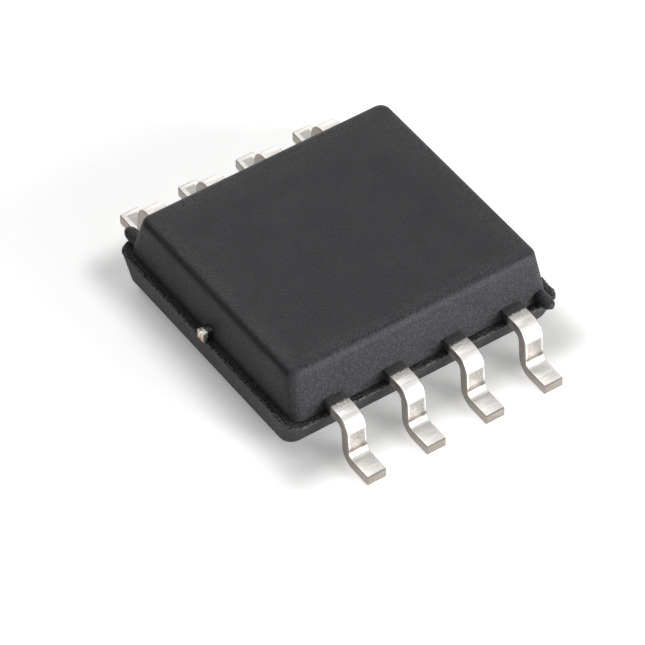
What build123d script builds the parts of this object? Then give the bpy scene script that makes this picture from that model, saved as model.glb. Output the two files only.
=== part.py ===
"""Eight-lead voltage regulator chip in a wide small-outline package, in millimetres.

The origin is the package's centre on the seating plane, which the eight soles touch. +X runs along
the rows of leads, +Y across them and +Z up. Leads are counted anticlockwise seen from above: one to
four along the -Y side towards +X, five to eight back along the +Y side.
"""

import os
from math import cos, radians, tan

from build123d import *

# Lead rows
PITCH = 1.27
LEADS_PER_SIDE = 4
SPAN_OVER_TOES = 7.86
LEAD_WIDTH = 0.40
FRAME_THICKNESS = 0.20
FOOT_LENGTH = 0.57
LEG_SLANT_DEG = 5.0
INNER_BEND_RADIUS = 0.13

# Moulded body
UPPER_LENGTH = 5.52
UPPER_WIDTH = 5.26
UPPER_HEIGHT = 0.94
LOWER_HEIGHT = 0.63
STANDOFF = 0.17
LEDGE_WIDTH = 0.15
UPPER_END_DRAFT_DEG = 5.5
UPPER_SIDE_DRAFT_DEG = 16.0
LOWER_END_DRAFT_DEG = 5.0
LOWER_SIDE_DRAFT_DEG = 22.5
UPPER_CORNER_RADIUS = 0.22
LOWER_CORNER_RADIUS = 0.28
TOP_EDGE_RADIUS = 0.15
BOTTOM_EDGE_RADIUS = 0.17

# Flash lumps left by the mould beside the last lead of each row
EAR_LENGTH = 0.60
EAR_WIDTH = 0.28
EAR_PROUD = 0.20
EAR_LEAD_GAP = 0.30
EAR_EDGE_CHAMFER = 0.04

# Inner ends of the leads
LEAD_TIP_GAP = 0.30
LEAD_PAD_LENGTH = 0.70
LEAD_PAD_WIDTH = 0.86
LEAD_PAD_CHAMFER = 0.15
LOCK_NOTCH_LENGTH = 0.20
LOCK_NOTCH_DEPTH = 0.14

# Die paddle, carried by a tie bar at each end
PADDLE_LENGTH = 2.70
PADDLE_WIDTH = 2.30
PADDLE_CORNER_RADIUS = 0.12
PADDLE_DOWNSET = 0.22
TIE_BAR_WIDTH = 0.18
TIE_BAR_PROUD = 0.04
TIE_BAR_FLAT = 0.15
TIE_BAR_JOG_RUN = 0.25

# Die and the adhesive under it
DIE_LENGTH = 1.80
DIE_WIDTH = 1.40
DIE_HEIGHT = 0.28
DIE_SAW_STEP = 0.03
DIE_SAW_STEP_DEPTH = 0.10
ADHESIVE_THICKNESS = 0.04
ADHESIVE_MARGIN = 0.12
ADHESIVE_SLOPE_RUN = 0.06

# Bond wires, with few sides because the moulding hides them
WIRE_DIAMETER = 0.05
WIRE_SIDES = 8
WIRE_RISE = 0.24
WIRE_BEND_RADIUS = 0.09
BALL_DIAMETER = 0.11
BALL_HEIGHT = 0.03
STITCH_LENGTH = 0.14
STITCH_WIDTH = 0.09
STITCH_TOE_WIDTH = 0.05
STITCH_HEIGHT = 0.02
DIE_PAD_PITCH = 0.42
DIE_PAD_INSET = 0.16
STITCH_INSET = 0.14

# Heights that follow from the sizes above
PARTING_Z = STANDOFF + LOWER_HEIGHT
FRAME_TOP_Z = PARTING_Z + FRAME_THICKNESS
PADDLE_TOP_Z = FRAME_TOP_Z - PADDLE_DOWNSET
DIE_BOTTOM_Z = PADDLE_TOP_Z + ADHESIVE_THICKNESS
DIE_TOP_Z = DIE_BOTTOM_Z + DIE_HEIGHT

# Outlines that follow from the sizes above
LEDGE_LENGTH = UPPER_LENGTH + 2 * LEDGE_WIDTH
LEDGE_HALF_WIDTH = UPPER_WIDTH / 2 + LEDGE_WIDTH
LEAD_TIP_Y = PADDLE_WIDTH / 2 + LEAD_TIP_GAP
LEAD_PAD_END_Y = LEAD_TIP_Y + LEAD_PAD_LENGTH
OUTER_BEND_RADIUS = INNER_BEND_RADIUS + FRAME_THICKNESS


def drafted_block(length, width, corner, height, end_draft_deg, side_draft_deg, z):
    """A rounded block from the parting plane, up or down, that narrows by its drafts."""
    end_inset = abs(height) * tan(radians(end_draft_deg))
    side_inset = abs(height) * tan(radians(side_draft_deg))
    wide = Plane.XY.offset(z) * RectangleRounded(length, width, corner)
    narrow = Plane.XY.offset(z + height) * RectangleRounded(
        length - 2 * end_inset, width - 2 * side_inset, corner)
    return loft([wide, narrow], ruled=True)


def mould_upper_half():
    block = drafted_block(UPPER_LENGTH, UPPER_WIDTH, UPPER_CORNER_RADIUS, UPPER_HEIGHT,
                          UPPER_END_DRAFT_DEG, UPPER_SIDE_DRAFT_DEG, PARTING_Z)
    return fillet(block.faces().sort_by(Axis.Z)[-1].edges(), TOP_EDGE_RADIUS)


def mould_lower_half():
    """The lower half is wider than the upper one all round, which leaves the ledge the strip lay on."""
    block = drafted_block(LEDGE_LENGTH, 2 * LEDGE_HALF_WIDTH, LOWER_CORNER_RADIUS, -LOWER_HEIGHT,
                          LOWER_END_DRAFT_DEG, LOWER_SIDE_DRAFT_DEG, PARTING_Z)
    return fillet(block.faces().sort_by(Axis.Z)[0].edges(), BOTTOM_EDGE_RADIUS)


def flash_ear():
    """One rounded lump beyond lead four, lying on the ledge where the strip's thickness left a gap."""
    x = lead_x(LEADS_PER_SIDE - 1) + LEAD_WIDTH / 2 + EAR_LEAD_GAP + EAR_WIDTH / 2
    y = -(LEDGE_HALF_WIDTH + EAR_PROUD - EAR_LENGTH / 2)
    outline = SlotOverall(EAR_LENGTH, EAR_WIDTH, rotation=90)
    lump = extrude(Plane.XY.offset(PARTING_Z) * outline, FRAME_THICKNESS)
    lump = chamfer(lump.edges().group_by(Axis.Z)[-1], EAR_EDGE_CHAMFER)
    return Pos(x, y, 0) * lump


def mould_body(inner_pieces):
    """Both halves and the two flash ears, hollowed exactly where the other pieces lie."""
    ear = flash_ear()
    solid = mould_upper_half() + mould_lower_half() + ear + Rot(0, 0, 180) * ear
    return solid - inner_pieces


def lead_x(place):
    """How far along its row a lead stands, for places counted from zero towards +X."""
    return (place - (LEADS_PER_SIDE - 1) / 2) * PITCH


def gull_wing():
    """The bent stretch of a lead on the +Y side, from inside the mould to the toe."""
    slope = tan(radians(LEG_SLANT_DEG))
    leg_depth = FRAME_THICKNESS / cos(radians(LEG_SLANT_DEG))
    toe = SPAN_OVER_TOES / 2
    heel = toe - FOOT_LENGTH

    def leg_outer(z):
        return heel - (z - FRAME_THICKNESS) * slope

    def leg_inner(z):
        return leg_outer(z) - leg_depth

    corners = [
        (LEAD_PAD_END_Y, FRAME_TOP_Z),
        (leg_outer(FRAME_TOP_Z), FRAME_TOP_Z),
        (heel, FRAME_THICKNESS),
        (toe, FRAME_THICKNESS),
        (toe, 0),
        (leg_inner(0), 0),
        (leg_inner(PARTING_Z), PARTING_Z),
        (LEAD_PAD_END_Y, PARTING_Z),
    ]
    profile = make_face(Polyline(*corners, close=True))

    def bends(*numbers):
        return [v for v in profile.vertices()
                if any(abs(v.X - corners[n][0]) + abs(v.Y - corners[n][1]) < 1e-6 for n in numbers)]

    profile = fillet(bends(1, 5), OUTER_BEND_RADIUS)
    profile = fillet(bends(2, 6), INNER_BEND_RADIUS)
    return extrude(Plane.YZ * profile, LEAD_WIDTH / 2, both=True)


def lead_pad():
    """The wide inner end that the mould grips, with a notch that the compound fills on each side."""
    centre_y = LEAD_TIP_Y + LEAD_PAD_LENGTH / 2
    outline = chamfer(Rectangle(LEAD_PAD_WIDTH, LEAD_PAD_LENGTH).vertices(), LEAD_PAD_CHAMFER)
    notch = Rectangle(2 * LOCK_NOTCH_DEPTH, LOCK_NOTCH_LENGTH)
    outline -= [Pos(side * LEAD_PAD_WIDTH / 2, 0) * notch for side in (-1, 1)]
    return extrude(Plane.XY.offset(PARTING_Z) * Pos(0, centre_y) * outline, FRAME_THICKNESS)


def lead_places():
    """Each lead's number with its turn about Z and its place along X."""
    for number in range(1, 2 * LEADS_PER_SIDE + 1):
        if number <= LEADS_PER_SIDE:
            yield number, 180, lead_x(number - 1)
        else:
            yield number, 0, lead_x(2 * LEADS_PER_SIDE - number)


def die_paddle():
    """The plate under the die and the two tie bars that step up to the leads' level."""
    plate = extrude(Plane.XY.offset(PADDLE_TOP_Z) * RectangleRounded(
        PADDLE_LENGTH, PADDLE_WIDTH, PADDLE_CORNER_RADIUS), -FRAME_THICKNESS)
    start = PADDLE_LENGTH / 2 - PADDLE_CORNER_RADIUS
    jog = PADDLE_LENGTH / 2 + TIE_BAR_FLAT
    end = LEDGE_LENGTH / 2 + TIE_BAR_PROUD
    top = [(start, PADDLE_TOP_Z), (jog, PADDLE_TOP_Z), (jog + TIE_BAR_JOG_RUN, FRAME_TOP_Z), (end, FRAME_TOP_Z)]
    under = [(x, z - FRAME_THICKNESS) for x, z in reversed(top)]
    profile = make_face(Polyline(*top, *under, close=True))
    bar = extrude(Plane.XZ * profile, TIE_BAR_WIDTH / 2, both=True)
    return plate + bar + Rot(0, 0, 180) * bar


def die_adhesive():
    """The cured paste that holds the die, sloping out beyond its edge."""
    foot = Plane.XY.offset(PADDLE_TOP_Z) * Rectangle(
        DIE_LENGTH + 2 * ADHESIVE_MARGIN, DIE_WIDTH + 2 * ADHESIVE_MARGIN)
    margin = ADHESIVE_MARGIN - ADHESIVE_SLOPE_RUN
    crown = Plane.XY.offset(DIE_BOTTOM_Z) * Rectangle(DIE_LENGTH + 2 * margin, DIE_WIDTH + 2 * margin)
    return loft([foot, crown], ruled=True)


def silicon_die():
    """The die, with the step that two saw cuts of different widths leave round its top."""
    wide = extrude(Plane.XY.offset(DIE_BOTTOM_Z) * Rectangle(DIE_LENGTH, DIE_WIDTH),
                   DIE_HEIGHT - DIE_SAW_STEP_DEPTH)
    top = extrude(Plane.XY.offset(DIE_BOTTOM_Z) * Rectangle(
        DIE_LENGTH - 2 * DIE_SAW_STEP, DIE_WIDTH - 2 * DIE_SAW_STEP), DIE_HEIGHT)
    return wide + top


def bond_wire(turn, x):
    """One wire from its ball on the die, up, over and down to its stitch on a lead's pad."""
    side = -1 if turn else 1
    pad_x = x / PITCH * DIE_PAD_PITCH
    ball = Vector(pad_x, side * (DIE_WIDTH / 2 - DIE_PAD_INSET), DIE_TOP_Z)
    stitch = Vector(x, side * (LEAD_TIP_Y + STITCH_INSET), FRAME_TOP_Z)
    peak = ball + Vector(0, 0, WIRE_RISE)
    run = stitch - peak
    path = FilletPolyline(ball, peak, stitch + run.normalized() * WIRE_DIAMETER, radius=WIRE_BEND_RADIUS)
    start = Plane(ball, x_dir=(run.X, run.Y, 0), z_dir=(0, 0, 1))
    wire = sweep(start * RegularPolygon(WIRE_DIAMETER / 2, WIRE_SIDES), path)
    below_pad = Pos(stitch.X, stitch.Y, FRAME_TOP_Z - WIRE_DIAMETER) * Box(
        4 * WIRE_DIAMETER, 4 * WIRE_DIAMETER, 2 * WIRE_DIAMETER)
    wire -= below_pad
    wire += extrude(start * RegularPolygon(BALL_DIAMETER / 2, WIRE_SIDES), BALL_HEIGHT)
    heading = Plane(stitch, x_dir=(run.X, run.Y, 0), z_dir=(0, 0, 1))
    half = STITCH_LENGTH / 2
    fan = make_face(Polyline((-half, -STITCH_TOE_WIDTH / 2), (0, -STITCH_WIDTH / 2), (half, -STITCH_TOE_WIDTH / 2),
                             (half, STITCH_TOE_WIDTH / 2), (0, STITCH_WIDTH / 2), (-half, STITCH_TOE_WIDTH / 2),
                             close=True))
    return wire + extrude(heading * fan, STITCH_HEIGHT)


def build():
    pieces = {}
    lead = gull_wing() + lead_pad()
    for number, turn, x in lead_places():
        pieces[f"lead_{number}"] = Pos(x, 0, 0) * Rot(0, 0, turn) * lead
    pieces["die_paddle"] = die_paddle()
    pieces["die_adhesive"] = die_adhesive()
    pieces["die"] = silicon_die()
    for number, turn, x in lead_places():
        pieces[f"bond_wire_{number}"] = bond_wire(turn, x)
    pieces["body"] = mould_body(list(pieces.values()))
    return pieces


os.makedirs("parts", exist_ok=True)
for node, shape in build().items():
    export_step(shape, f"parts/{node}.step")
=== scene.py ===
"""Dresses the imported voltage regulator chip: mould grain and flash, tin-plated gull-wing leads, studio.

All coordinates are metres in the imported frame: +X along the rows of leads, +Z up from the board.
"""

import math

import bmesh
import bpy
from mathutils import Matrix, Vector, noise


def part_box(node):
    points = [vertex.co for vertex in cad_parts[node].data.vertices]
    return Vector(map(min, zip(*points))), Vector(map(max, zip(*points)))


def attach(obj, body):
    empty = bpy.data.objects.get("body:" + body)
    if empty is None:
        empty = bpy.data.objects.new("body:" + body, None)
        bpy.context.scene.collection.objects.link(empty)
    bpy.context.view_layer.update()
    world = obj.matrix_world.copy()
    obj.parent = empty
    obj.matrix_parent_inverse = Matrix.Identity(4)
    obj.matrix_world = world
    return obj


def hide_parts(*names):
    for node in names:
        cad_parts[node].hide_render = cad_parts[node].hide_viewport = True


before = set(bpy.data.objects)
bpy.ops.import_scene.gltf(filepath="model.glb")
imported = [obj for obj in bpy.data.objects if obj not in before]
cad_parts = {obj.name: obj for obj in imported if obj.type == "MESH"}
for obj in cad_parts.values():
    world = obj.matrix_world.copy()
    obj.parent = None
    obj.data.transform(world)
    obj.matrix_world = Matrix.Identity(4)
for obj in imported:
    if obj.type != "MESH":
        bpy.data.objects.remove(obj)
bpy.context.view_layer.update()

bl_info = {
    "name": "Small-outline chip dresser",
    "version": (1, 0, 0),
    "blender": (4, 5, 0),
    "location": "3D View > Sidebar > Chip",
    "description": "Builds an eight-lead chip's moulded body, leads, inner pieces and studio",
    "category": "Object",
}

MM = 0.001
LEADS = range(1, 9)
LEADS_PER_SIDE = 4
# The photo's camera: its focal length and the picture's width in pixels, and its sensor's width in mm
FOCAL_PIXELS = 5000
PHOTO_PIXELS = 645
SENSOR_WIDTH = 36
# The moulding's mesh: its step along the walls, and its rings on the flat top, round each half's edge,
# down each half's wall and across the ledge
MESH_STEP = 0.03 * MM
FLAT_RINGS = 3
EDGE_STEPS = 9
TOP_RINGS = FLAT_RINGS + EDGE_STEPS + 1
UPPER_WALL_STEPS = 22
LOWER_WALL_STEPS = 18
SHELF_STEPS = 9
BODY_LOW, BODY_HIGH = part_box("body")
LEAD_LOW, LEAD_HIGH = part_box("lead_8")


def linear(hex_colour):
    """An sRGB hex colour as the linear numbers that Blender's sockets take."""
    shares = [int(hex_colour[i:i + 2], 16) / 255 for i in (1, 3, 5)]
    return tuple(c / 12.92 if c <= 0.04045 else ((c + 0.055) / 1.055) ** 2.4 for c in shares)


def length(name, description, millimetres):
    """A property that holds a length, with its default given in millimetres."""
    return bpy.props.FloatProperty(name=name, description=description, default=millimetres * MM,
                                   precision=6, unit="LENGTH")


def colour(name, description, hex_colour):
    return bpy.props.FloatVectorProperty(name=name, description=description, size=3, subtype="COLOR",
                                         min=0, max=1, default=linear(hex_colour))


def angle(name, description, degrees):
    return bpy.props.FloatProperty(name=name, description=description, default=math.radians(degrees),
                                   subtype="ANGLE")


# Sizes and colours that a user would change


class ChipBodySizes(bpy.types.PropertyGroup):
    parting: length("Parting plane", "Height of the ledge above the board", 0.80)
    upper_length: length("Upper length", "Upper half's foot along the rows of leads", 5.52)
    upper_width: length("Upper width", "Upper half's foot across the rows of leads", 5.26)
    ledge_width: length("Ledge", "How far the lower half stands out past the upper one", 0.15)
    upper_corner: length("Upper corners", "Radius of the upper half's upright corners", 0.22)
    lower_corner: length("Lower corners", "Radius of the lower half's upright corners", 0.28)
    top_edge: length("Top edge", "Radius round the flat top", 0.15)
    bottom_edge: length("Bottom edge", "Radius round the underside", 0.17)
    ledge_drop: length("Ledge drop", "How far the ledge lies under the strip that rests on it", 0.006)
    flash_depth: length("Flash", "How far the rough flash stands out or in", 0.011)
    flash_size: length("Flash grain", "Width of one lump of the rough flash", 0.05)
    ear_place: length("Ear place", "From the middle of the row to each ear of flash", 2.545)
    ear_width: length("Ear width", "Ear of flash, along the row", 0.27)
    ear_length: length("Ear length", "Ear of flash, across the row", 0.60)
    ear_proud: length("Ear reach", "How far an ear stands out past the ledge", 0.20)
    ear_height: length("Ear height", "Thickness of an ear", 0.21)
    upper_end_draft: angle("Upper end draft", "Slope of the upper half's short walls", 5.5)
    upper_side_draft: angle("Upper side draft", "Slope of the upper half's walls over the leads", 16.0)
    lower_end_draft: angle("Lower end draft", "Slope of the lower half's short walls", 5.0)
    lower_side_draft: angle("Lower side draft", "Slope of the lower half's walls under the leads", 22.5)


class ChipLeadSizes(bpy.types.PropertyGroup):
    pitch: length("Pitch", "From one lead to the next in its row", 1.27)
    width: length("Width", "Width of a lead outside the body", 0.40)
    thickness: length("Thickness", "Thickness of the strip", 0.20)
    bend: length("Bend radius", "Radius of the strip's middle line in both bends", 0.23)
    foot: length("Foot", "From the leg's outer face to the toe", 0.57)
    rounding: length("Edge rounding", "Radius that stamping and plating leave on the edges", 0.016)
    pad_length: length("Pad length", "Wide inner end, along the lead", 0.70)
    pad_width: length("Pad width", "Wide inner end, across the lead", 0.86)
    pad_chamfer: length("Pad chamfer", "Cut corners of the wide inner end", 0.15)
    notch_length: length("Notch length", "Lock notch along the lead", 0.20)
    notch_depth: length("Notch depth", "Lock notch into the pad's edge", 0.14)
    slant: angle("Leg slant", "How far the leg leans out towards its foot", 5.0)


class ChipColours(bpy.types.PropertyGroup):
    compound: colour("Moulding compound", "Epoxy between its filler grains", "#1b1b1e")
    filler: colour("Filler grain", "Silica grains that show through the epoxy's skin", "#343438")
    flash: colour("Flash", "Crumbs of the rough ledge", "#5f5f60")
    # This tone paints the ledge's outer edge and the top's rims paler, partly as rubbing and partly as a
    # painted highlight; along the front top edge it is a painted highlight alone
    wear_and_highlight: colour("Worn edge", "Ledge's outer edge, rubbed pale", "#929293")
    tin: colour("Tin", "Matte tin plating", "#f3f1ee")
    # This tone also paints shade on the far row of leads
    tin_shade: colour("Tin shade", "Duller patches of the plating", "#c6c0b9")
    # On the leads' side faces this tone is partly thin plating and partly painted shade, and it paints the
    # dark shade line where each shoulder ends
    punched: colour("Punched edge", "Side faces, where the punch wiped the plating thin", "#a8a097")
    # A grey that paints shade on the legs and inside the far row's feet
    painted_shade_grey: colour("Pressed tin", "Patches of the legs, which the forming die pressed grey", "#858585")
    # This tone also lays the dark band just above each heel
    dark_line_tone: colour("Scrape", "The dark lines that the punch and the shear leave on the plating", "#685e56")
    copper: colour("Copper", "Bare copper alloy at the cut tie bars and inside", "#b9795a")
    adhesive: colour("Adhesive", "Cured silver-filled paste", "#9d9c99")
    silicon: colour("Silicon", "Polished die", "#4a4d57")
    gold: colour("Gold", "Bond wire", "#dcae55")


class ChipStudio(bpy.types.PropertyGroup):
    azimuth: angle("Azimuth", "Camera's turn round the chip", -34.732)
    elevation: angle("Elevation", "Camera's height over the board, as an angle", 46.035)
    distance: length("Distance", "From the camera to the chip's centre plane", 89.729)
    across: length("Aim across", "Aim to the right of the origin, seen by the camera", -0.2746)
    upward: length("Aim up", "Aim above the origin, seen by the camera", -0.3526)
    lens: bpy.props.FloatProperty(name="Lens", description="Focal length on a 36 mm wide sensor",
                                  default=FOCAL_PIXELS / PHOTO_PIXELS * SENSOR_WIDTH,
                                  subtype="DISTANCE_CAMERA")
    floor: colour("Floor", "Matte white table", "#f6f6f5")
    floor_glow: bpy.props.FloatProperty(name="Floor glow", default=0.69, min=0, max=1,
                                        description="What the glow adds to the table's white")
    # The glow fades towards the chip over this reach, which paints a shadow round it on the table
    painted_shadow_reach: length("Shade reach", "How far past the chip's body its shade is kept from the glow", 0.75)
    tent_light: bpy.props.FloatProperty(name="Tent light", default=0.03, min=0, max=1,
                                        description="Share of the tent's white that lights things")


# Node helpers


def add_node(tree, kind, values=None, **settings):
    """Adds one node. A value is a number, colour, socket or whole node, by its input's name or number."""
    node = tree.nodes.new(kind)
    for name, value in settings.items():
        setattr(node, name, value)
    for key, value in (values or {}).items():
        socket = node.inputs[key]
        if isinstance(value, bpy.types.Node):
            value = next(out for out in value.outputs if out.enabled)
        if isinstance(value, bpy.types.NodeSocket):
            tree.links.new(value, socket)
        else:
            socket.default_value = (*value[:3], 1.0) if socket.type == "RGBA" else value
    return node


def new_material(name):
    """An empty material and its tree."""
    material = bpy.data.materials.new(name)
    material.use_nodes = True
    material.node_tree.nodes.clear()
    return material, material.node_tree


def object_millimetres(tree, stretch=(1, 1, 1)):
    """Object coordinates in millimetres, so that a noise scale counts lumps in a millimetre."""
    place = add_node(tree, "ShaderNodeTexCoord").outputs["Object"]
    return add_node(tree, "ShaderNodeMapping", {"Vector": place, "Scale": [share / MM for share in stretch]})


# Finishes. A Mix node's inputs 6 and 7 are its two colours, and a Map Range node's 1 to 4 are its two ranges.


def moulded_epoxy(tones):
    """Silica-filled epoxy from a spark-eroded mould: near black, matte, grained, and crumbly at the ledge."""
    material, tree = new_material("silica_filled_epoxy_moulded")
    place = object_millimetres(tree)
    # Silica grains and the pits of spark erosion are about 0.03 mm wide
    grain = add_node(tree, "ShaderNodeTexNoise", {"Vector": place, "Scale": 32.0, "Detail": 3.0,
                                                  "Roughness": 0.7})
    # Faint clouds half a millimetre wide show how the compound flowed
    cloud = add_node(tree, "ShaderNodeTexNoise", {"Vector": place, "Scale": 2.0, "Detail": 2.0})
    # The film that squeezed out at the parting line broke off in crumbs of 0.04 mm
    crumb = add_node(tree, "ShaderNodeTexNoise", {"Vector": place, "Scale": 24.0, "Detail": 4.0,
                                                  "Roughness": 0.75})
    flash = add_node(tree, "ShaderNodeAttribute", attribute_name="flash").outputs["Fac"]
    wear_and_highlight = add_node(tree, "ShaderNodeAttribute", attribute_name="wear_and_highlight").outputs["Fac"]

    speckle = add_node(tree, "ShaderNodeMapRange", {0: grain, 1: 0.44, 2: 0.62})
    # Where the surface is only a little rough, the highest crumbs still show as pale specks
    specks = add_node(tree, "ShaderNodeMapRange", {0: crumb, 1: 0.52, 2: 0.58})
    faint = add_node(tree, "ShaderNodeMath", {0: flash}, operation="SQRT")
    specks = add_node(tree, "ShaderNodeMath", {0: specks, 1: faint}, operation="MULTIPLY")
    broken = add_node(tree, "ShaderNodeMapRange", {0: crumb, 1: 0.44, 2: 0.58})
    torn = add_node(tree, "ShaderNodeMix", {0: broken, 6: tones.compound, 7: tones.flash}, data_type="RGBA")
    # The pale tone laid here is partly rubbing and partly a painted highlight, and along the front top edge a
    # painted highlight alone
    wear_and_painted_light = add_node(tree, "ShaderNodeMath", {0: wear_and_highlight, 1: broken}, operation="MULTIPLY")
    # Laid over the epoxy in this order, each where its share is one
    skin = tones.compound
    for share, tone in ((speckle, tones.filler), (specks, tones.flash), (flash, torn), (wear_and_painted_light, tones.wear_and_highlight)):
        skin = add_node(tree, "ShaderNodeMix", {0: share, 6: skin, 7: tone}, data_type="RGBA")

    patch = add_node(tree, "ShaderNodeMapRange", {0: cloud, 1: 0.35, 2: 0.65, 3: 0.50, 4: 0.56})
    shine = add_node(tree, "ShaderNodeMapRange", {0: grain, 1: 0.4, 2: 0.6, 3: -0.04, 4: 0.05})
    rough = add_node(tree, "ShaderNodeMath", {0: patch, 1: shine}, operation="ADD")
    loose = add_node(tree, "ShaderNodeMath", {0: flash, 1: crumb}, operation="MULTIPLY")
    relief = add_node(tree, "ShaderNodeMath", {0: loose, 1: 5.0, 2: grain}, operation="MULTIPLY_ADD")
    bump = add_node(tree, "ShaderNodeBump", {"Height": relief, "Strength": 1.0, "Distance": 0.014 * MM})
    shader = add_node(tree, "ShaderNodeBsdfPrincipled", {"Base Color": skin, "Roughness": rough,
                                                         "Normal": bump, "Specular IOR Level": 0.35})
    add_node(tree, "ShaderNodeOutputMaterial", {"Surface": shader})
    return material


def lead_zones(tree, crystal, body, leads):
    """Nodes that are one in a zone of the leads, such as their feet, and nought outside it."""
    place = add_node(tree, "ShaderNodeTexCoord").outputs["Object"]
    spot = add_node(tree, "ShaderNodeSeparateXYZ", {0: place})
    backward, height = spot.outputs["Y"], spot.outputs["Z"]
    out = add_node(tree, "ShaderNodeMath", {0: backward}, operation="ABSOLUTE")
    across = add_node(tree, "ShaderNodeAttribute", attribute_name="across").outputs["Fac"]
    across = add_node(tree, "ShaderNodeMath", {0: across}, operation="ABSOLUTE")
    # Measured with the crystals' noise added, an edge is torn
    ragged = add_node(tree, "ShaderNodeMath", {0: crystal, 1: 0.20 * MM, 2: out}, operation="MULTIPLY_ADD")
    half, thick = leads.width / 2, leads.thickness
    toe, top = LEAD_HIGH[1], LEAD_HIGH[2]
    ledge = body.upper_width / 2 + body.ledge_width
    shoulder_end = top - (leads.bend + thick / 2) * (1 - math.sin(leads.slant))
    from_bend = add_node(tree, "ShaderNodeMath", {0: height, 1: shoulder_end}, operation="SUBTRACT")
    from_bend = add_node(tree, "ShaderNodeMath", {0: from_bend}, operation="ABSOLUTE")

    # What is measured, from where, how many millimetres on the zone begins and is full, and its strength
    rows = {
        # The painted highlight of a pale rim, the dark line that the punch drew along it, and the side face
        # whose plating it thinned, darker partly from that and partly as painted shade
        "rim": (across, half, -0.055, -0.025, 1.0),
        "edge": (across, half, -0.018, -0.011, 0.7),
        "side": (across, half, -0.008, -0.002, 1.0),
        # Foot and shoulder are the bright zone, and the leg outside it gets painted shade. A painted shade
        # line runs where the shoulder ends.
        "foot": (height, thick, 0.12, 0.04, 1.0),
        "shoulder": (height, shoulder_end, 0.0, 0.06, 1.0),
        "painted_shade_line": (from_bend, 0.0, 0.016, 0.006, 0.55),
        # A dark band runs along the leg just above the heel, and the shear drew a line along the toe
        "over_foot": (height, thick, 0.10, 0.13, 1.0),
        "heel": (height, thick, 0.24, 0.15, 0.9),
        "foot_top": (height, thick, -0.03, -0.012, 1.0),
        "toe_line": (out, toe, -0.030, -0.016, 0.75),
        # The shear tore the toe's end, so it is as thinly plated as the sides
        "cut_end": (out, toe, -0.006, -0.002, 1.0),
        # The far row gets painted shade, and its feet a grey painted shade inside a pale rim
        "painted_back_row_shade": (backward, 0.0, 0.0, 1.0, 0.7),
        "wear_and_painted_light": (backward, toe, -0.08, -0.11, 1.0),
        "inner": (across, half, -0.08, -0.11, 1.0),
        # Compound bled over the strip as far as the ledge, with a torn edge, and left rough metal beyond it
        "film": (ragged, ledge, 0.12, 0.09, 1.0),
        "outside": (out, ledge, -0.40, -0.39, 1.0),
        "scuffed": (ragged, ledge, 0.30, 0.22, 1.0),
    }
    zones = {}
    for name, (way, start, begins, full, strength) in rows.items():
        zones[name] = add_node(tree, "ShaderNodeMapRange", {
            0: way, 1: start + begins * MM, 2: start + full * MM, 4: strength})
    zones["flat"] = add_node(tree, "ShaderNodeMath", {0: 1.0, 1: zones["side"]}, operation="SUBTRACT")
    # Products keep what two zones share, and maxima join zones
    joins = (
        ("heel", "heel", "over_foot", "MULTIPLY"),
        ("toe_line", "toe_line", "foot_top", "MULTIPLY"),
        ("wear_and_painted_light", "wear_and_painted_light", "foot", "MULTIPLY"),
        ("wear_and_painted_light", "wear_and_painted_light", "inner", "MULTIPLY"),
        ("wear_and_painted_light", "wear_and_painted_light", "painted_back_row_shade", "MULTIPLY"),
        ("film", "film", "outside", "MULTIPLY"),
        ("bright", "foot", "shoulder", "MAXIMUM"),
        ("wiped_and_painted_shade", "side", "painted_shade_line", "MAXIMUM"),
        ("wiped_and_painted_shade", "wiped_and_painted_shade", "cut_end", "MAXIMUM"),
        ("dark_lines", "heel", "toe_line", "MAXIMUM"),
        ("dark_lines", "dark_lines", "edge", "MAXIMUM"),
        ("dark_lines", "dark_lines", "flat", "MULTIPLY"),
    )
    for name, first, second, operation in joins:
        zones[name] = add_node(tree, "ShaderNodeMath", {0: zones[first], 1: zones[second]},
                               operation=operation)
    return zones


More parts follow.
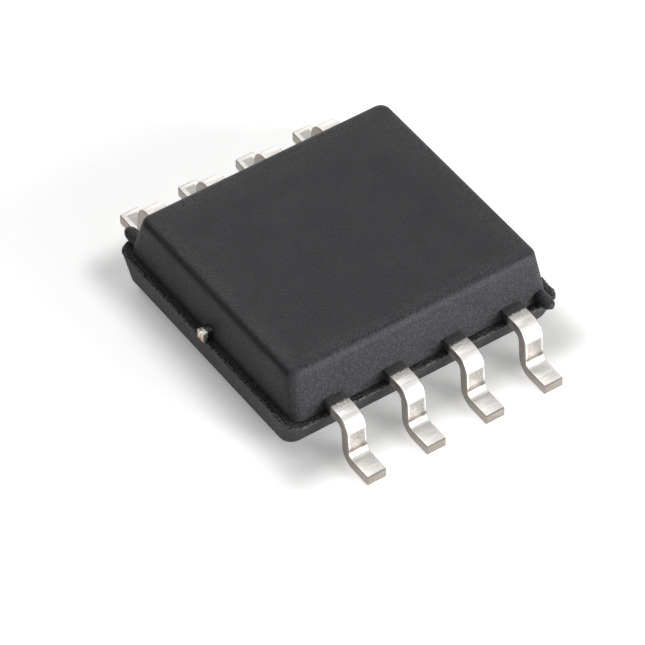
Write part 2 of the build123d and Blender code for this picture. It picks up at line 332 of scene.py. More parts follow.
def matte_tin(tones, body, leads):
    """Matte tin plated over stamped copper alloy: pale, softly shining, dull where the punch thinned the
    plating, with painted highlights on the rims and painted shade on the legs, the side faces and the far
    row.
    """
    material, tree = new_material("matte_tin_over_copper")
    place = object_millimetres(tree)
    # Tin crystals, drawn 0.04 mm wide so that they show
    crystal = add_node(tree, "ShaderNodeTexNoise", {"Vector": place, "Scale": 26.0, "Detail": 3.0,
                                                    "Roughness": 0.6})
    # The rolled strip's lines run across the lead, drawn 0.06 mm apart so that they show
    stretched = object_millimetres(tree, (0.10, 1, 1))
    lines = add_node(tree, "ShaderNodeTexNoise", {"Vector": stretched, "Scale": 17.0, "Detail": 3.0})
    zones = lead_zones(tree, crystal, body, leads)
    bright, scuffed = zones["bright"], zones["scuffed"]

    dull = add_node(tree, "ShaderNodeMapRange", {0: crystal, 1: 0.42, 2: 0.62, 4: 0.25})
    streak = add_node(tree, "ShaderNodeMapRange", {0: lines, 1: 0.50, 2: 0.60, 4: 0.4})
    streak = add_node(tree, "ShaderNodeMath", {0: streak, 1: bright}, operation="MULTIPLY")
    # The leg, outside the bright foot and shoulder, gets painted shade, mottled between two greys
    leg = add_node(tree, "ShaderNodeMath", {0: 1.0, 1: bright}, operation="SUBTRACT")
    mottled_painted_leg_shade = add_node(tree, "ShaderNodeMapRange", {0: crystal, 1: 0.40, 2: 0.60, 3: 0.3, 4: 0.7})
    mottled_painted_leg_shade = add_node(tree, "ShaderNodeMix", {0: mottled_painted_leg_shade, 6: tones.tin_shade, 7: tones.painted_shade_grey},
                      data_type="RGBA")
    stain = add_node(tree, "ShaderNodeMapRange", {0: crystal, 1: 0.42, 2: 0.56, 3: 0.2, 4: 0.9})
    stain = add_node(tree, "ShaderNodeMath", {0: stain, 1: scuffed}, operation="MULTIPLY")
    crumbs = add_node(tree, "ShaderNodeMapRange", {0: crystal, 1: 0.42, 2: 0.58, 3: 0.5, 4: 1.0})
    crumbs = add_node(tree, "ShaderNodeMix", {0: crumbs, 6: tones.compound, 7: tones.flash}, data_type="RGBA")
    # Laid over the tin in this order, each where its share is one. Among them are painted shade on the legs,
    # a painted highlight on the rims, painted shade on the far row and inside its feet, and painted shade
    # along with thin plating on the side faces.
    layers = (
        (dull, tones.tin_shade),
        (streak, tones.tin_shade),
        (leg, mottled_painted_leg_shade),
        (zones["rim"], tones.tin),
        (zones["painted_back_row_shade"], tones.tin_shade),
        (zones["wear_and_painted_light"], tones.painted_shade_grey),
        (zones["wiped_and_painted_shade"], tones.punched),
        (zones["dark_lines"], tones.dark_line_tone),
        (stain, tones.tin_shade),
        (zones["film"], crumbs),
    )
    skin = tones.tin
    for share, tone in layers:
        skin = add_node(tree, "ShaderNodeMix", {0: share, 6: skin, 7: tone}, data_type="RGBA")

    rough = add_node(tree, "ShaderNodeMapRange", {0: crystal, 1: 0.4, 2: 0.6, 3: 0.40, 4: 0.50})
    rough = add_node(tree, "ShaderNodeMath", {0: scuffed, 1: 0.12, 2: rough}, operation="MULTIPLY_ADD")
    metal = add_node(tree, "ShaderNodeMath", {0: 1.0, 1: zones["film"]}, operation="SUBTRACT")
    relief = add_node(tree, "ShaderNodeMath", {0: scuffed, 1: 2.0, 2: 1.0}, operation="MULTIPLY_ADD")
    relief = add_node(tree, "ShaderNodeMath", {0: crystal, 1: relief, 2: lines}, operation="MULTIPLY_ADD")
    bump = add_node(tree, "ShaderNodeBump", {"Height": relief, "Strength": 0.6, "Distance": 0.005 * MM})
    shader = add_node(tree, "ShaderNodeBsdfPrincipled", {"Base Color": skin, "Roughness": rough,
                                                         "Metallic": metal, "Normal": bump})
    add_node(tree, "ShaderNodeOutputMaterial", {"Surface": shader})
    return material


def sheared_copper(tones, body):
    """Rolled copper alloy, tinned where it leaves the moulding and torn bare where the tie bars were cut."""
    material, tree = new_material("copper_alloy_sheared")
    # The fibres that the shear tore are about 0.06 mm wide
    tear = add_node(tree, "ShaderNodeTexNoise", {"Vector": object_millimetres(tree), "Scale": 16.0,
                                                 "Detail": 4.0})
    place = add_node(tree, "ShaderNodeTexCoord").outputs["Object"]
    spot = add_node(tree, "ShaderNodeSeparateXYZ", {0: place})
    out, height = spot.outputs["X"], spot.outputs["Z"]
    out = add_node(tree, "ShaderNodeMath", {0: out}, operation="ABSOLUTE")
    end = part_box("die_paddle")[1][0]
    top = LEAD_HIGH[2]
    ledge = body.upper_length / 2 + body.ledge_width
    tinned = add_node(tree, "ShaderNodeMapRange", {0: out, 1: end - 0.24 * MM, 2: end - 0.23 * MM})
    crack = add_node(tree, "ShaderNodeMapRange", {0: tear, 1: 0.45, 2: 0.56, 3: 0.3})
    crack = add_node(tree, "ShaderNodeMath", {0: crack, 1: tinned}, operation="MULTIPLY")
    # The cut drew the tin down over its upper part, and the copper below broke bare
    cut = add_node(tree, "ShaderNodeMapRange", {0: out, 1: end - 0.020 * MM, 2: end - 0.004 * MM})
    low = add_node(tree, "ShaderNodeMapRange", {0: height, 1: top - 0.10 * MM, 2: top - 0.15 * MM, 3: 0.2})
    torn = add_node(tree, "ShaderNodeMapRange", {0: tear, 1: 0.42, 2: 0.52})
    torn = add_node(tree, "ShaderNodeMath", {0: torn, 1: low}, operation="MULTIPLY")
    torn = add_node(tree, "ShaderNodeMath", {0: torn, 1: cut}, operation="MULTIPLY")
    # Compound bled over the tie bar too, as far as the ledge's middle
    ragged = add_node(tree, "ShaderNodeMath", {0: tear, 1: 0.10 * MM, 2: out}, operation="MULTIPLY_ADD")
    film = add_node(tree, "ShaderNodeMapRange", {0: ragged, 1: ledge, 2: ledge - 0.01 * MM})
    film = add_node(tree, "ShaderNodeMath", {0: film, 1: tinned}, operation="MULTIPLY")
    skin = tones.copper
    layers = ((tinned, tones.tin), (crack, tones.punched), (torn, tones.copper), (film, tones.compound))
    for share, tone in layers:
        skin = add_node(tree, "ShaderNodeMix", {0: share, 6: skin, 7: tone}, data_type="RGBA")

    rough = add_node(tree, "ShaderNodeMapRange", {0: tear, 1: 0.4, 2: 0.6, 3: 0.34, 4: 0.50})
    metal = add_node(tree, "ShaderNodeMath", {0: 1.0, 1: film}, operation="SUBTRACT")
    bump = add_node(tree, "ShaderNodeBump", {"Height": tear, "Strength": 0.8, "Distance": 0.02 * MM})
    shader = add_node(tree, "ShaderNodeBsdfPrincipled", {"Base Color": skin, "Roughness": rough,
                                                         "Metallic": metal, "Normal": bump})
    add_node(tree, "ShaderNodeOutputMaterial", {"Surface": shader})
    return material


def grained_finish(name, tone, shade, grains_per_mm, rough_low, rough_high, metallic):
    """A sealed piece's finish: one tone that wanders towards a shade, with matching roughness."""
    material, tree = new_material(name)
    grain = add_node(tree, "ShaderNodeTexNoise", {"Vector": object_millimetres(tree), "Scale": grains_per_mm,
                                                  "Detail": 3.0})
    share = add_node(tree, "ShaderNodeMapRange", {0: grain, 1: 0.4, 2: 0.6})
    skin = add_node(tree, "ShaderNodeMix", {0: share, 6: tone, 7: shade}, data_type="RGBA")
    rough = add_node(tree, "ShaderNodeMapRange", {0: grain, 1: 0.4, 2: 0.6, 3: rough_low, 4: rough_high})
    shader = add_node(tree, "ShaderNodeBsdfPrincipled", {"Base Color": skin, "Roughness": rough,
                                                         "Metallic": metallic})
    add_node(tree, "ShaderNodeOutputMaterial", {"Surface": shader})
    return material


def darker(tone, share):
    return tuple(part * share for part in tone)


# Mesh helpers


def mesh_piece(name, points, faces):
    mesh = bpy.data.meshes.new(name)
    mesh.from_pydata(points, [], faces)
    piece = bpy.data.objects.new(name, mesh)
    bpy.context.scene.collection.objects.link(piece)
    return piece


def bake_modifiers(piece):
    """Turns the evaluated object into a plain mesh and takes its modifiers off."""
    bpy.context.view_layer.update()
    mesh = bpy.data.meshes.new_from_object(piece.evaluated_get(bpy.context.evaluated_depsgraph_get()))
    mesh.name = piece.name
    piece.modifiers.clear()
    piece.data = mesh


def round_edges(piece, radius, segments, sharper_than, smooth_to):
    """Rounds the edges that are sharper than an angle, bakes the piece and shades it smooth up to another."""
    edges = piece.modifiers.new("Rounded edges", "BEVEL")
    edges.width = radius
    edges.segments = segments
    edges.limit_method = "ANGLE"
    edges.angle_limit = math.radians(sharper_than)
    bake_modifiers(piece)
    piece.data.shade_smooth()
    piece.data.set_sharp_from_angle(angle=math.radians(smooth_to))


def merged_copy(node, name):
    """A copy of a CAD node's mesh whose loose triangles are joined."""
    piece = bpy.data.objects.new(name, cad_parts[node].data.copy())
    bpy.context.scene.collection.objects.link(piece)
    shell = bmesh.new()
    shell.from_mesh(piece.data)
    bmesh.ops.remove_doubles(shell, verts=shell.verts, dist=0.0001 * MM)
    shell.to_mesh(piece.data)
    shell.free()
    return piece


def add_tree(piece, name, tree, inputs):
    """Puts a Geometry Nodes tree on a piece, and sets its inputs by their sockets' identifiers."""
    modifier = piece.modifiers.new(name, "NODES")
    modifier.node_group = tree
    for socket in tree.interface.items_tree:
        if socket.in_out == "INPUT" and socket.name in inputs:
            modifier[socket.identifier] = inputs[socket.name]


def geometry_tree(name, sizes):
    """A Geometry Nodes tree with a geometry, a number for each size and a material as its inputs."""
    tree = bpy.data.node_groups.new(name, "GeometryNodeTree")
    tree.interface.new_socket("Geometry", in_out="INPUT", socket_type="NodeSocketGeometry")
    for size in sizes:
        tree.interface.new_socket(size, in_out="INPUT", socket_type="NodeSocketFloat")
    tree.interface.new_socket("Material", in_out="INPUT", socket_type="NodeSocketMaterial")
    tree.interface.new_socket("Geometry", in_out="OUTPUT", socket_type="NodeSocketGeometry")
    return tree, add_node(tree, "NodeGroupInput").outputs


def end_tree(tree, given, geometry):
    """Ends a tree in real geometry that wears its material."""
    real = add_node(tree, "GeometryNodeRealizeInstances", {"Geometry": geometry})
    dressed = add_node(tree, "GeometryNodeSetMaterial", {"Geometry": real, "Material": given["Material"]})
    add_node(tree, "NodeGroupOutput", {"Geometry": dressed})
    return tree


# Moulded body


def round_samples(sizes, step):
    """Once round a rounded rectangle, as shares of its straight half-reaches with the way outwards."""
    corner_steps = 9
    samples = []
    for wall in range(4):
        heading = wall * math.pi / 2
        out = Vector((math.cos(heading), math.sin(heading)))
        along = Vector((-out.y, out.x))
        reach = sizes.upper_width if wall % 2 == 0 else sizes.upper_length
        count = round(reach / step)
        for i in range(count):
            samples.append((out + along * (2 * i / count - 1), out))
        for i in range(corner_steps):
            turned = heading + math.pi / 2 * i / corner_steps
            samples.append((out + along, Vector((math.cos(turned), math.sin(turned)))))
    return samples


def half_rings(samples, reach, corner, slopes, height, edge, wall_steps, start, up):
    """Rings of one moulded half, from the parting plane along its drafted wall and round its edge."""
    rings = []
    edge_centre = height - edge

    def wall_point(share, out, depth, inset):
        x = share.x * (reach[0] - depth * slopes[0] - corner) + out.x * (corner - inset)
        y = share.y * (reach[1] - depth * slopes[1] - corner) + out.y * (corner - inset)
        return x, y

    def slope_of(out):
        return math.atan(slopes[0] * abs(out.x) + slopes[1] * abs(out.y))

    for i in range(wall_steps):
        ring = []
        for share, out in samples:
            tilt = slope_of(out)
            depth = (edge_centre + edge * math.sin(tilt)) * i / wall_steps
            ring.append((*wall_point(share, out, depth, 0), start + up * depth))
        rings.append(ring)
    for i in range(EDGE_STEPS + 1):
        ring = []
        for share, out in samples:
            tilt = slope_of(out)
            swing = tilt + (math.pi / 2 - tilt) * i / EDGE_STEPS
            inset = edge / math.cos(tilt) - edge * math.cos(swing)
            ring.append((*wall_point(share, out, edge_centre, inset),
                         start + up * (edge_centre + edge * math.sin(swing))))
        rings.append(ring)
    return rings


def between(first, second, share, drop=0.0):
    """A ring part of the way from one ring to another, let down by a drop."""
    return [tuple(a + (b - a) * share for a, b in zip(p, q))[:2] + (p[2] + (q[2] - p[2]) * share - drop,)
            for p, q in zip(first, second)]


def flash_tree():
    """Pushes the points of the rough flash in and out along their normals."""
    tree, given = geometry_tree("mould_flash", ("Depth", "Lumps per metre"))
    place = add_node(tree, "GeometryNodeInputPosition")
    lumps = add_node(tree, "ShaderNodeTexNoise", {"Vector": place, "Scale": given["Lumps per metre"],
                                                  "Detail": 3.0, "Roughness": 0.7})
    swing = add_node(tree, "ShaderNodeMapRange", {0: lumps, 1: 0.38, 2: 0.62, 3: -1.0, 4: 1.0})
    rough = add_node(tree, "GeometryNodeInputNamedAttribute", {"Name": "flash"}, data_type="FLOAT")
    amount = add_node(tree, "ShaderNodeMath", {0: swing, 1: rough}, operation="MULTIPLY")
    push = add_node(tree, "ShaderNodeMath", {0: amount, 1: given["Depth"]}, operation="MULTIPLY")
    normal = add_node(tree, "GeometryNodeInputNormal")
    offset = add_node(tree, "ShaderNodeVectorMath", {0: normal, "Scale": push}, operation="SCALE")
    moved = add_node(tree, "GeometryNodeSetPosition", {"Geometry": given["Geometry"], "Offset": offset})
    return end_tree(tree, given, moved)


def body_rings(sizes, samples):
    """The moulding's rings from its top down, in three parts: the upper half, the shelf, the lower half."""
    upper = (sizes.upper_length / 2, sizes.upper_width / 2)
    lower = (upper[0] + sizes.ledge_width, upper[1] + sizes.ledge_width)
    upper_slopes = (math.tan(sizes.upper_end_draft), math.tan(sizes.upper_side_draft))
    lower_slopes = (math.tan(sizes.lower_end_draft), math.tan(sizes.lower_side_draft))
    ledge = sizes.parting - sizes.ledge_drop
    above = half_rings(samples, upper, sizes.upper_corner, upper_slopes, BODY_HIGH[2] - ledge,
                       sizes.top_edge, UPPER_WALL_STEPS, ledge, 1)
    below = half_rings(samples, lower, sizes.lower_corner, lower_slopes, ledge - BODY_LOW[2],
                       sizes.bottom_edge, LOWER_WALL_STEPS, ledge, -1)
    # The shelf has a groove along the wall and rolls over at its outer edge
    groove_depth = 0.012 * MM
    roll_depth = 0.02 * MM
    shelf = [between(above[0], below[0], 0.04, groove_depth)]
    shelf += [between(above[0], below[0], i / SHELF_STEPS) for i in range(1, SHELF_STEPS - 1)]
    shelf.append(between(above[0], below[0], 0.9, roll_depth * 0.1))
    rim = [between(below[0], below[1], 0.0, roll_depth * share) for share in (0.35, 1.0)]
    # The rings on the flat top crowd towards its edge
    middle = [(0, 0, BODY_HIGH[2])] * len(samples)
    flat = [between(above[-1], middle, 0.3 / 2.7 ** i) for i in range(FLAT_RINGS)]
    return flat + list(reversed(above)), shelf, rim + below[1:]


def ring_skin(rings):
    """The points and the faces of a closed skin through the rings, from the topmost to the lowest."""
    count = len(rings[0])
    points = [point for ring in rings for point in ring]
    faces = [tuple(range(count))]
    for level in range(len(rings) - 1):
        for i in range(count):
            a, b = level * count + i, level * count + (i + 1) % count
            faces.append((a, a + count, b + count, b))
    last = (len(rings) - 1) * count
    faces.append(tuple(reversed(range(last, last + count))))
    return points, faces


def skin_marks(above, shelf, below):
    """How rough the moulding is at each point, and how pale from rubbing and painted highlight, from the top
    down, as shares of its rim's.
    """
    count = len(above[0])

    def spread(shares):
        return [share for share in shares for _ in range(count)]

    # The flash covers the shelf and fades down the lower half. The walls are a little rougher than the top.
    walls = 0.14
    fading_rings = 5
    roughness = [0.0] * TOP_RINGS + [walls] * (len(above) - TOP_RINGS) + [1.0] * len(shelf)
    roughness += [max(walls, 1 - level / fading_rings) for level in range(len(below))]
    # The pale tone follows the shelf's outer edge and, far more faintly, the flat top's rim with the start of
    # its rounded edge, partly as rubbing and partly as painted highlight. The rest of that edge gets a
    # painted highlight along the front alone.
    top_wear_and_highlight = (0.0, 0.05, 0.14, 0.14, 0.14, 0.14)
    front_painted_highlight = 0.15
    front_reach = 0.1 * MM
    brink_rings, rim_rings = 2, 3
    wear_and_highlight_shares = spread(top_wear_and_highlight)
    for ring in above[len(top_wear_and_highlight):TOP_RINGS]:
        front = min(point[1] for point in ring)
        wear_and_highlight_shares += [front_painted_highlight * max(0.0, 1 - (point[1] - front) / front_reach) for point in ring]
    wear_and_highlight_shares += spread([0.0] * (len(above) + len(shelf) - TOP_RINGS - brink_rings))
    wear_and_highlight_shares += spread([1.0] * (brink_rings + rim_rings) + [0.0] * (len(below) - rim_rings))
    return spread(roughness), wear_and_highlight_shares


def ear_piece(sizes, number, turn):
    """A lump of flash where the mould's two halves let the compound out beside the last lead."""
    sunk = 0.01 * MM
    outer_end = sizes.upper_width / 2 + sizes.ledge_width + sizes.ear_proud
    centre = Vector((sizes.ear_place, -(outer_end - sizes.ear_length / 2),
                     sizes.parting + sizes.ear_height / 2 - sunk))
    reach = Vector((sizes.ear_width, sizes.ear_length, sizes.ear_height)) / 2
    # Rounded all over, with blunt ends, and a little uneven. Each ear's noise starts elsewhere.
    bluntness = 0.6
    unevenness = 0.05
    lumps = 2.3
    noise_start = Vector((number * 7.1, 0, 0))
    ball = 48
    points, faces = [], []
    for i in range(ball // 2 + 1):
        polar = math.pi * i / (ball // 2)
        flat = math.sin(polar)
        for j in range(ball):
            swing = 2 * math.pi * j / ball
            way = Vector((math.cos(swing) * flat, math.sin(swing) * flat, math.cos(polar)))
            lump = 1 + unevenness * noise.noise(way * lumps + noise_start)
            x = centre.x + way.x * reach.x * lump
            y = centre.y + math.copysign(abs(way.y) ** bluntness, way.y) * reach.y * lump
            points.append((x * turn, y * turn, centre.z + way.z * reach.z))
    for i in range(ball // 2):
        for j in range(ball):
            a, b = i * ball + j, i * ball + (j + 1) % ball
            faces.append((a, a + ball, b + ball, b))
    return points, faces


class CHIP_OT_body(bpy.types.Operator):
    """Builds the moulded body with its ledge, its rough flash and its two ears"""
    bl_idname = "chip.body"
    bl_label = "Moulded body"

    def execute(self, context):
        scene = context.scene
        sizes = scene.chip_body
        above, shelf, below = body_rings(sizes, round_samples(sizes, MESH_STEP))
        points, faces = ring_skin(above + shelf + below)
        roughness, wear_and_highlight_shares = skin_marks(above, shelf, below)
        ear_roughness, ear_wear = 0.1, 0.1
        for number, turn in ((1, 1), (2, -1)):
            ear_points, ear_faces = ear_piece(sizes, number, turn)
            start = len(points)
            points += ear_points
            faces += [tuple(start + i for i in face) for face in ear_faces]
            roughness += [ear_roughness] * len(ear_points)
            wear_and_highlight_shares += [ear_wear] * len(ear_points)
        piece = mesh_piece("moulded_body", points, faces)
        for name, values in (("flash", roughness), ("wear_and_highlight", wear_and_highlight_shares)):
            piece.data.attributes.new(name, "FLOAT", "POINT").data.foreach_set("value", values)
        piece.data.polygons.foreach_set("use_smooth", [True] * len(piece.data.polygons))
        epoxy = moulded_epoxy(scene.chip_colours)
        piece.data.materials.append(epoxy)
        add_tree(piece, "Mould flash", flash_tree(), {
            "Depth": sizes.flash_depth, "Lumps per metre": 1 / sizes.flash_size, "Material": epoxy})
        bake_modifiers(piece)
        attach(piece, "root")
        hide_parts("body")
        return {"FINISHED"}


# Leads


def strip_points(sizes):
    """The middle line of the strip outside the pad, as corners in the plane across the row."""
    toe, top = LEAD_HIGH[1], LEAD_HIGH[2]
    half = sizes.thickness / 2
    lean = math.tan(sizes.slant)
    face = toe - sizes.foot
    shift = half / math.cos(sizes.slant)

    def leg(z):
        return face - (z - sizes.thickness) * lean - shift

    # The strip starts a little way inside the pad, so that the two overlap
    overlap = 0.05 * MM
    inner = LEAD_LOW[1] + sizes.pad_length
    return [(0, inner - overlap, top - half), (0, leg(top - half), top - half), (0, leg(half), half),
            (0, toe, half)]


def pad_outline(sizes):
    """The wide inner end from above, with its cut corners and its two lock notches."""
    start = LEAD_LOW[1]
    middle = start + sizes.pad_length / 2
    half = sizes.pad_width / 2
    notch = half - sizes.notch_depth
    cut = sizes.pad_chamfer
    side = [(half - cut, start), (half, start + cut), (half, middle - sizes.notch_length / 2),
            (notch, middle - sizes.notch_length / 2), (notch, middle + sizes.notch_length / 2),
            (half, middle + sizes.notch_length / 2), (half, start + sizes.pad_length - cut),
            (half - cut, start + sizes.pad_length)]
    return side + [(-x, y) for x, y in reversed(side)]


def lead_mesh(name, sizes):
    """A lead before its tree bends it: the strip's middle line as edges, and the pad as a closed slab."""
    line, outline = strip_points(sizes), pad_outline(sizes)
    first, count = len(line), len(outline)
    top, under = LEAD_HIGH[2], LEAD_HIGH[2] - sizes.thickness
    points = line + [(x, y, z) for z in (under, top) for x, y in outline]
    faces = [tuple(reversed(range(first, first + count))), tuple(range(first + count, first + 2 * count))]
    for i in range(count):
        a, b = first + i, first + (i + 1) % count
        faces.append((a, b, b + count, a + count))
    mesh = bpy.data.meshes.new(name)
    mesh.from_pydata(points, [(i, i + 1) for i in range(first - 1)], faces)
    strip = mesh.attributes.new("strip", "FLOAT", "POINT")
    strip.data.foreach_set("value", [1.0] * first + [0.0] * (2 * count))
    return mesh


def lead_tree():
    """Sweeps a rounded strip along its bent middle line, adds the pad and stands the lead in its row."""
    sizes = ("Width", "Thickness", "Bend radius", "Edge rounding", "Place", "Turn")
    tree, given = geometry_tree("gull_wing_lead", sizes)
    is_strip = add_node(tree, "GeometryNodeInputNamedAttribute", {"Name": "strip"}, data_type="FLOAT")
    apart = add_node(tree, "GeometryNodeSeparateGeometry", {"Geometry": given["Geometry"],
                                                            "Selection": is_strip}, domain="POINT")
    line = add_node(tree, "GeometryNodeMeshToCurve", {"Mesh": apart.outputs["Selection"]})
    bent = add_node(tree, "GeometryNodeFilletCurve", {"Curve": line, "Count": 14,
                                                      "Radius": given["Bend radius"]}, mode="POLY")
    section = add_node(tree, "GeometryNodeCurvePrimitiveQuadrilateral", {"Width": given["Width"],
                                                                         "Height": given["Thickness"]})
    rounded = add_node(tree, "GeometryNodeFilletCurve", {"Curve": section, "Count": 3,
                                                         "Radius": given["Edge rounding"]}, mode="POLY")
    swept = add_node(tree, "GeometryNodeCurveToMesh", {"Curve": bent, "Profile Curve": rounded,
                                                       "Fill Caps": True})
    joined = add_node(tree, "GeometryNodeJoinGeometry", {"Geometry": swept})
    tree.links.new(apart.outputs["Inverted"], joined.inputs["Geometry"])
    # The finish finds the lead's rims and side faces by how far across it they lie
    spot = add_node(tree, "ShaderNodeSeparateXYZ", {0: add_node(tree, "GeometryNodeInputPosition")})
    marked = add_node(tree, "GeometryNodeStoreNamedAttribute", {"Geometry": joined, "Name": "across",
                                                                "Value": spot.outputs["X"]},
                      data_type="FLOAT")
    shift = add_node(tree, "ShaderNodeCombineXYZ", {"X": given["Place"]})
    spin = add_node(tree, "ShaderNodeCombineXYZ", {"Z": given["Turn"]})
    stood = add_node(tree, "GeometryNodeTransform", {"Geometry": marked, "Translation": shift,
                                                     "Rotation": spin})
    return end_tree(tree, given, stood)


class CHIP_OT_leads(bpy.types.Operator):
    """Builds the eight gull-wing leads"""
    bl_idname = "chip.leads"
    bl_label = "Gull-wing leads"

    def execute(self, context):
        scene = context.scene
        sizes = scene.chip_leads
        tin = matte_tin(scene.chip_colours, scene.chip_body, sizes)
        tree = lead_tree()
        for number in LEADS:
            near_row = number <= LEADS_PER_SIDE
            place = number - 1 if near_row else 2 * LEADS_PER_SIDE - number
            inputs = {"Width": sizes.width, "Thickness": sizes.thickness, "Bend radius": sizes.bend,
                      "Edge rounding": sizes.rounding, "Material": tin,
                      "Place": (place - (LEADS_PER_SIDE - 1) / 2) * sizes.pitch,
                      "Turn": math.pi if near_row else 0.0}
            mesh = lead_mesh(f"gull_wing_lead_{number}", sizes)
            piece = bpy.data.objects.new(mesh.name, mesh)
            scene.collection.objects.link(piece)
            add_tree(piece, "Bent strip", tree, inputs)
            round_edges(piece, sizes.rounding, segments=2, sharper_than=60, smooth_to=40)
            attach(piece, "root")
            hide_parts(f"lead_{number}")
        return {"FINISHED"}


# Pieces inside the moulding


class CHIP_OT_inner_pieces(bpy.types.Operator):
    """Finishes the paddle with its sheared tie bars, the adhesive, the die and the bond wires"""
    bl_idname = "chip.inner_pieces"
    bl_label = "Inner pieces"

    def execute(self, context):
        tones = context.scene.chip_colours
        paddle = merged_copy("die_paddle", "paddle_and_tie_bars")
        round_edges(paddle, 0.04 * MM, segments=3, sharper_than=30, smooth_to=50)
        paddle.data.materials.clear()
        paddle.data.materials.append(sheared_copper(tones, context.scene.chip_body))
        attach(paddle, "root")
        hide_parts("die_paddle")
        # Silver flakes about 0.03 mm wide in cured epoxy: grey and dull
        adhesive = grained_finish("silver_filled_adhesive", tones.adhesive, darker(tones.adhesive, 0.7),
                                  grains_per_mm=30.0, rough_low=0.55, rough_high=0.75, metallic=0.0)
        # Silicon lapped and polished, with clouds 0.2 mm wide: dark and nearly a mirror
        silicon = grained_finish("polished_silicon", tones.silicon, darker(tones.silicon, 0.8),
                                 grains_per_mm=6.0, rough_low=0.10, rough_high=0.18, metallic=0.6)
        # Gold drawn through a die, whose marks are about 0.03 mm apart: warm and bright
        gold = grained_finish("drawn_gold_wire", tones.gold, darker(tones.gold, 0.85),
                              grains_per_mm=40.0, rough_low=0.16, rough_high=0.26, metallic=1.0)
        finishes = {"die_adhesive": adhesive, "die": silicon}
        for number in LEADS:
            finishes[f"bond_wire_{number}"] = gold
        for node, finish in finishes.items():
            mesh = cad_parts[node].data
            mesh.materials.clear()
            mesh.materials.append(finish)
        return {"FINISHED"}


# Studio


def camera_axes(studio):
    """The camera's right, up and backward directions."""
    flat = math.cos(studio.elevation)
    back = Vector((math.sin(studio.azimuth) * flat, -math.cos(studio.azimuth) * flat,
                   math.sin(studio.elevation)))
    right = Vector((0, 0, 1)).cross(back).normalized()
    return right, back.cross(right), back


def seen_rays(tree):
    """One for the rays that show the backdrop: the camera's own and those off metal or through glass."""
    path = add_node(tree, "ShaderNodeLightPath")
    camera, glossy = path.outputs["Is Camera Ray"], path.outputs["Is Glossy Ray"]
    through = path.outputs["Is Transmission Ray"]
    seen = add_node(tree, "ShaderNodeMath", {0: camera, 1: glossy}, operation="MAXIMUM")
    return add_node(tree, "ShaderNodeMath", {0: seen, 1: through}, operation="MAXIMUM")


def table_material(studio):
    """Matte white card, which glows for the rays that show the backdrop, more weakly near the chip, so that a
    painted shadow rings it.
    """
    material, tree = new_material("matte_white_card")
    place = add_node(tree, "ShaderNodeTexCoord").outputs["Object"]
    apart = add_node(tree, "ShaderNodeVectorMath", {0: place}, operation="ABSOLUTE")
    apart = add_node(tree, "ShaderNodeVectorMath", {0: apart, 1: (BODY_HIGH[0], BODY_HIGH[1], 1)},
                     operation="SUBTRACT")
    apart = add_node(tree, "ShaderNodeVectorMath", {0: apart, 1: (0, 0, 0)}, operation="MAXIMUM")
    apart = add_node(tree, "ShaderNodeVectorMath", {0: apart}, operation="LENGTH").outputs["Value"]
    # Near the chip the glow is weaker, which paints a shadow round the chip and darkens, as painted shade,
    # what its low walls mirror
    away = add_node(tree, "ShaderNodeMapRange", {0: apart, 1: 0.0, 2: studio.painted_shadow_reach, 3: 0.45},
                    interpolation_type="SMOOTHSTEP")
    card = add_node(tree, "ShaderNodeBsdfPrincipled", {"Base Color": studio.floor, "Roughness": 0.9,
                                                       "Specular IOR Level": 0.1})
    strength = add_node(tree, "ShaderNodeMath", {0: seen_rays(tree), 1: studio.floor_glow},
                        operation="MULTIPLY")
    strength = add_node(tree, "ShaderNodeMath", {0: strength, 1: away}, operation="MULTIPLY")
    glow = add_node(tree, "ShaderNodeEmission", {"Strength": strength})
    both = add_node(tree, "ShaderNodeAddShader", {0: card, 1: glow})
    add_node(tree, "ShaderNodeOutputMaterial", {"Surface": both})
    return material


def soft_box(name, turn, height, level):
    """A square lamp, turned from +X and raised by angles, that lights white card facing it to the level."""
    data = bpy.data.lights.new(name, "AREA")
    data.size = 80 * MM
    distance = 150 * MM
    data.energy = level * (math.pi * distance) ** 2
    lamp = bpy.data.objects.new(name, data)
    turn, height = math.radians(turn), math.radians(height)
    way = Vector((math.cos(turn) * math.cos(height), math.sin(turn) * math.cos(height), math.sin(height)))
    lamp.location = way * distance
    lamp.rotation_euler = way.to_track_quat("Z", "Y").to_euler()
    bpy.context.scene.collection.objects.link(lamp)


def tent_world(scene):
    """A white tent, open to a dark room at the back left. It is seen in full but lights things faintly."""
    world = bpy.data.worlds.new("white_tent")
    scene.world = world
    world.use_nodes = True
    tree = world.node_tree
    tree.nodes.clear()
    way = add_node(tree, "ShaderNodeTexCoord").outputs["Generated"]
    opening = tuple(Vector((-0.72, 0.55, 0.42)).normalized())
    facing = add_node(tree, "ShaderNodeVectorMath", {0: way, 1: opening}, operation="DOT_PRODUCT")
    # Dark within 28 degrees of the opening's middle, and white from 63 degrees on
    white = add_node(tree, "ShaderNodeMapRange", {0: facing.outputs["Value"], 1: 0.45, 2: 0.88, 3: 1.0,
                                                  4: 0.05})
    light = scene.chip_studio.tent_light
    share = add_node(tree, "ShaderNodeMapRange", {0: seen_rays(tree), 3: light, 4: 1.0})
    strength = add_node(tree, "ShaderNodeMath", {0: white, 1: share}, operation="MULTIPLY")
    backdrop = add_node(tree, "ShaderNodeBackground", {"Strength": strength})
    add_node(tree, "ShaderNodeOutputWorld", {"Surface": backdrop})


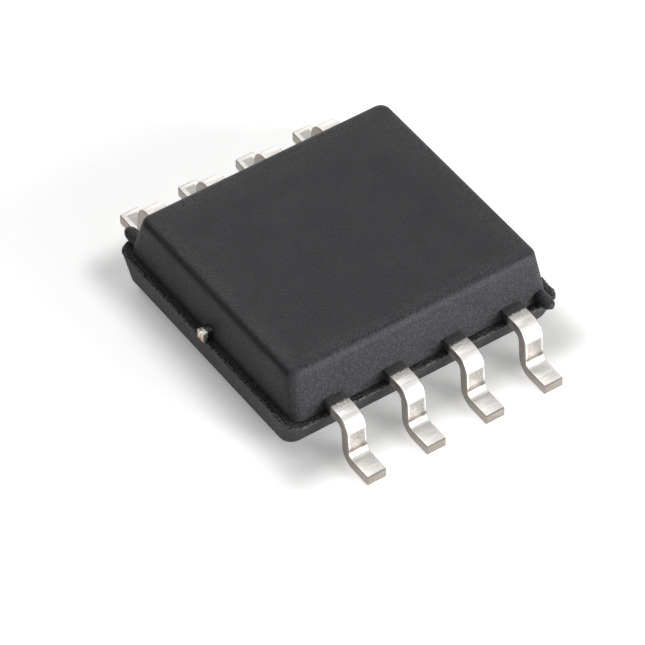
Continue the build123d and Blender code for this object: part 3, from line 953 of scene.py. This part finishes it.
class CHIP_OT_studio(bpy.types.Operator):
    """Sets the table, the tent, the soft boxes and the camera"""
    bl_idname = "chip.studio"
    bl_label = "Studio"

    def execute(self, context):
        scene = context.scene
        studio = scene.chip_studio
        reach = 400 * MM
        table = mesh_piece("white_table", [(-reach, -reach, 0), (reach, -reach, 0), (reach, reach, 0),
                                           (-reach, reach, 0)], [(0, 1, 2, 3)])
        table.data.materials.append(table_material(studio))
        tent_world(scene)
        # A low key light to the front right models the front wall. The top mirrors the one at the back right.
        # None stands where the left top edge mirrors it, so that edge reads as a dark line.
        soft_box("key_box", turn=-60, height=12, level=1.13)
        soft_box("back_right_box", turn=60, height=12, level=0.19)
        soft_box("back_high_box", turn=92, height=60, level=0.25)
        soft_box("front_left_box", turn=-90, height=18, level=0.15)
        right, up, back = camera_axes(studio)
        data = bpy.data.cameras.new("camera")
        data.lens = studio.lens
        data.sensor_width = SENSOR_WIDTH
        data.clip_start = 1 * MM
        data.clip_end = 5
        camera = bpy.data.objects.new("camera", data)
        place = right * studio.across + up * studio.upward + back * studio.distance
        camera.matrix_world = Matrix.Translation(place) @ Matrix((right, up, back)).transposed().to_4x4()
        scene.collection.objects.link(camera)
        scene.camera = camera
        scene.view_settings.view_transform = "Standard"
        return {"FINISHED"}


class CHIP_PT_panel(bpy.types.Panel):
    bl_label = "Small-outline chip"
    bl_idname = "CHIP_PT_panel"
    bl_space_type = "VIEW_3D"
    bl_region_type = "UI"
    bl_category = "Chip"

    def draw(self, context):
        for group, operators in PANEL_ROWS:
            box = self.layout.box()
            settings = getattr(context.scene, group)
            for name in settings.__annotations__:
                box.prop(settings, name)
            for operator in operators:
                box.operator(operator.bl_idname)


GROUPS = {"chip_body": ChipBodySizes, "chip_leads": ChipLeadSizes, "chip_colours": ChipColours,
          "chip_studio": ChipStudio}
OPERATORS = (CHIP_OT_body, CHIP_OT_leads, CHIP_OT_inner_pieces, CHIP_OT_studio)
PANEL_ROWS = (("chip_body", [CHIP_OT_body]), ("chip_leads", [CHIP_OT_leads]),
              ("chip_colours", [CHIP_OT_inner_pieces]), ("chip_studio", [CHIP_OT_studio]))


def register():
    for cls in (*GROUPS.values(), *OPERATORS, CHIP_PT_panel):
        bpy.utils.register_class(cls)
    for name, group in GROUPS.items():
        setattr(bpy.types.Scene, name, bpy.props.PointerProperty(type=group))


def unregister():
    for name in GROUPS:
        delattr(bpy.types.Scene, name)
    for cls in reversed((*GROUPS.values(), *OPERATORS, CHIP_PT_panel)):
        bpy.utils.unregister_class(cls)


def main():
    register()
    bpy.ops.chip.body()
    bpy.ops.chip.leads()
    bpy.ops.chip.inner_pieces()
    bpy.ops.chip.studio()


if __name__ == "__main__":
    main()
